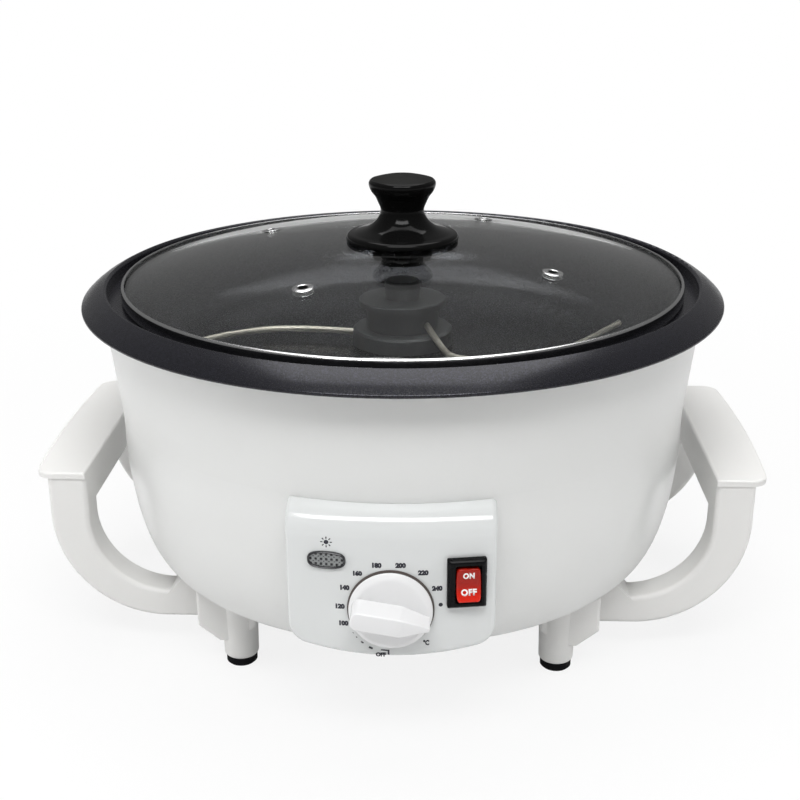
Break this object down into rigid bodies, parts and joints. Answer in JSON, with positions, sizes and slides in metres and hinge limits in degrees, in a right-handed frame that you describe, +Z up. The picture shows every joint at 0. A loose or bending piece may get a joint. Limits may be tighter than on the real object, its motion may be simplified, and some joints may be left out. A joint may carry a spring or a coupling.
{
  "type": "countertop coffee bean roaster",
  "caption": "Electric coffee bean roaster: stirred non-stick pan in a round enamelled bowl with lift-off glass lid, bow handles, dial and rocker switch.",
  "frame": {"origin": "on the table in the middle of the four feet, on the stirrer's axis", "axes": "+Z up, -Y towards the user (the dial's side), +X to the user's right"},
  "size_m": [0.3322, 0.3042, 0.2114],
  "materials": {
    "enamel": "smooth baked enamel",
    "panel_white": "glossy moulded white",
    "handle_white": "fine satin white",
    "leg_white": "satin white",
    "pan_coating": "dark non-stick coating with fine metallic speckle",
    "glass": "clear tempered glass",
    "lid_steel": "polished stainless steel",
    "knob_black": "glossy black phenolic",
    "screw_steel": "zinc-plated",
    "hub_grey": "heat-resistant dark grey",
    "wire_steel": "polished steel rod",
    "brass": "plain",
    "dial_white": "satin gloss white",
    "ceramic_white": "unglazed",
    "switch_black": "fine black",
    "rocker_red": "translucent red",
    "lens_clear": "prismatic clear lens",
    "lamp_glass": "small neon tube",
    "galvanised": "zinc-plated sheet",
    "aluminium": "bright sheet",
    "heater_steel": "heat-darkened",
    "gland_black": "nylon",
    "pad_rubber": "matte"
  },
  "bodies": {
    "base": {"base_cover": "galvanised", "body_shell": "enamel", "bridge_screws": "screw_steel", "control_housing": "panel_white", "cord_gland": "gland_black", "cover_screws": "screw_steel", "gear_motor": "galvanised", "gland_nut": "gland_black", "handle_left": "handle_white", "handle_right": "handle_white", "handle_screws": "screw_steel", "heat_shield": "aluminium", "heating_element": "heater_steel", "housing_screws": "screw_steel", "indicator_lamp": "lamp_glass", "indicator_lens": "lens_clear", "inner_pan": "pan_coating", "leg_front_left": "leg_white", "leg_front_right": "leg_white", "leg_rear_left": "leg_white", "leg_rear_right": "leg_white", "leg_screws": "screw_steel", "motor_bridge": "galvanised", "motor_screws": "screw_steel", "rubber_pad_front_left": "pad_rubber", "rubber_pad_front_right": "pad_rubber", "rubber_pad_rear_left": "pad_rubber", "rubber_pad_rear_right": "pad_rubber", "sensor_bulb": "aluminium", "shaft_bush": "brass", "switch_body": "switch_black", "terminal_block": "ceramic_white", "thermostat_body": "ceramic_white", "thermostat_screws": "screw_steel", "tie_nuts": "galvanised", "tie_rods": "galvanised"},
    "lid": {"glass_lid": "glass", "lid_band": "lid_steel", "vent_eyelets": "lid_steel", "lid_knob": "knob_black", "lid_knob_collar": "knob_black", "lid_knob_screw": "screw_steel"},
    "stirrer": {"stirrer_hub": "hub_grey", "stirrer_arms": "wire_steel", "drive_shaft": "wire_steel"},
    "dial": {"temperature_knob": "dial_white", "thermostat_shaft": "screw_steel"},
    "rocker": {"switch_rocker": "rocker_red"}
  },
  "joints": [
    {"name": "lid_lift", "type": "slide", "parent": "base", "child": "lid", "axis": [0, 0, 1], "range_m": [0, 0.12]},
    {"name": "stirrer_spin", "type": "hinge", "parent": "base", "child": "stirrer", "pos_m": [0, 0, 0.13], "axis": [0, 0, 1], "continuous": true},
    {"name": "dial_turn", "type": "hinge", "parent": "base", "child": "dial", "pos_m": [0, -0.1425, 0.0677], "axis": [0, -1, 0], "range_deg": [-162, 94]},
    {"name": "rocker_press", "type": "hinge", "parent": "base", "child": "rocker", "pos_m": [0.02995, -0.14122, 0.0792], "axis": [0.9885, 0.1513, 0], "range_deg": [0, 16]}
  ]
}
